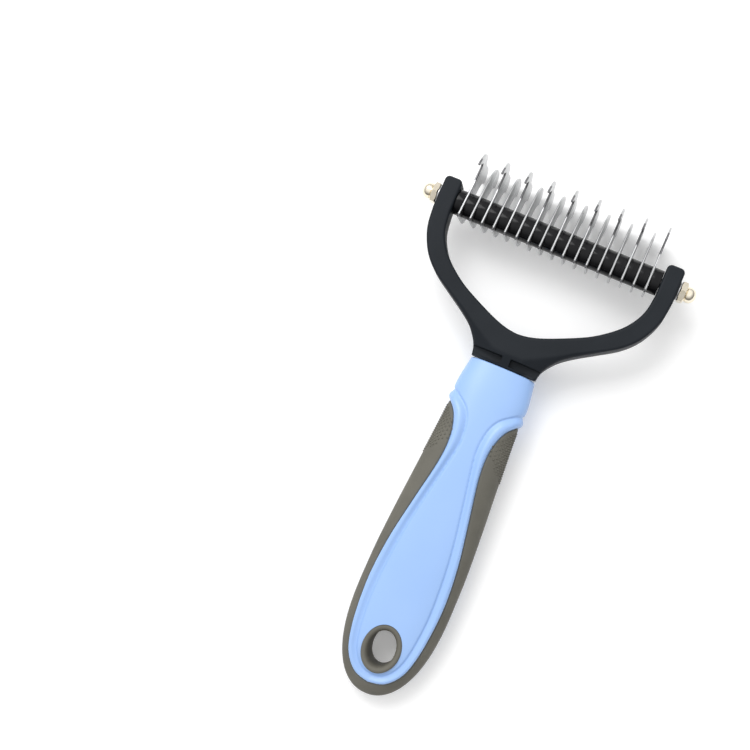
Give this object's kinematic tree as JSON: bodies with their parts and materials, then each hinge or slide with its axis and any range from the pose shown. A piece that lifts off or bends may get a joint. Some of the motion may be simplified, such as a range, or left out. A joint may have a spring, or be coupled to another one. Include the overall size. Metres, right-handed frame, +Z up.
{
  "type": "undercoat rake",
  "caption": "Two-sided undercoat rake: hooked steel blades on a clamped rod between the arms of a fork, with a two-material handle and hanging hole.",
  "frame": {"origin": "on the surface that the rake lies on, under the middle of its box", "axes": "+X along the blade rod to the right seen from the front, +Y from the butt of the handle to the teeth, +Z up, out of the front of the handle"},
  "size_m": [0.1098, 0.2004, 0.0272],
  "materials": {
    "fork_plastic": "fine matt grain, very dark blue grey",
    "spacer_plastic": "glossy black",
    "blade_steel": "satin stainless steel with ground inner edges",
    "rod_steel": "plain bright steel",
    "nut_metal": "polished, faintly warm plating",
    "handle_plastic": "satin sky blue",
    "grip_rubber": "soft warm grey with a fine grain"
  },
  "bodies": {
    "handle": {"fork": "fork_plastic", "handle_core": "handle_plastic", "grip_overmould": "grip_rubber", "hang_ring": "grip_rubber"},
    "blade_pack": {"threaded_rod": "rod_steel", "blade_long_1": "blade_steel", "blade_long_2": "blade_steel", "blade_long_3": "blade_steel", "blade_long_4": "blade_steel", "blade_long_5": "blade_steel", "blade_long_6": "blade_steel", "blade_long_7": "blade_steel", "blade_long_8": "blade_steel", "blade_long_9": "blade_steel", "blade_short_1": "blade_steel", "blade_short_2": "blade_steel", "blade_short_3": "blade_steel", "blade_short_4": "blade_steel", "blade_short_5": "blade_steel", "blade_short_6": "blade_steel", "blade_short_7": "blade_steel", "blade_short_8": "blade_steel", "spacer_1": "spacer_plastic", "spacer_2": "spacer_plastic", "spacer_3": "spacer_plastic", "spacer_4": "spacer_plastic", "spacer_5": "spacer_plastic", "spacer_6": "spacer_plastic", "spacer_7": "spacer_plastic", "spacer_8": "spacer_plastic", "spacer_9": "spacer_plastic", "spacer_10": "spacer_plastic", "spacer_11": "spacer_plastic", "spacer_12": "spacer_plastic", "spacer_13": "spacer_plastic", "spacer_14": "spacer_plastic", "spacer_15": "spacer_plastic", "spacer_16": "spacer_plastic", "spacer_17": "spacer_plastic", "spacer_18": "spacer_plastic"},
    "washer_left": {"washer_left": "rod_steel"},
    "nut_left": {"cap_nut_left": "nut_metal"},
    "washer_right": {"washer_right": "rod_steel"},
    "nut_right": {"cap_nut_right": "nut_metal"}
  },
  "joints": [
    {"name": "blade_pack_turn", "type": "hinge", "parent": "handle", "child": "blade_pack", "pos_m": [0, 0.07955, 0.0179], "axis": [1, 0, 0], "range_deg": [-110, 135]},
    {"name": "washer_left_slide", "type": "slide", "parent": "blade_pack", "child": "washer_left", "axis": [-1, 0, 0], "range_m": [0, 0.0021]},
    {"name": "nut_left_unscrew", "type": "hinge", "parent": "washer_left", "child": "nut_left", "pos_m": [-0.0502, 0.07955, 0.0179], "axis": [-1, 0, 0], "range_deg": [0, 1080]},
    {"name": "washer_right_slide", "type": "slide", "parent": "blade_pack", "child": "washer_right", "axis": [1, 0, 0], "range_m": [0, 0.0021]},
    {"name": "nut_right_unscrew", "type": "hinge", "parent": "washer_right", "child": "nut_right", "pos_m": [0.0502, 0.07955, 0.0179], "axis": [1, 0, 0], "range_deg": [0, 1080]}
  ],
  "couplings": [
    {"joint": "nut_left_unscrew", "follows": "washer_left_slide", "rad_per_m": 8976},
    {"joint": "nut_right_unscrew", "follows": "washer_right_slide", "rad_per_m": 8976}
  ]
}
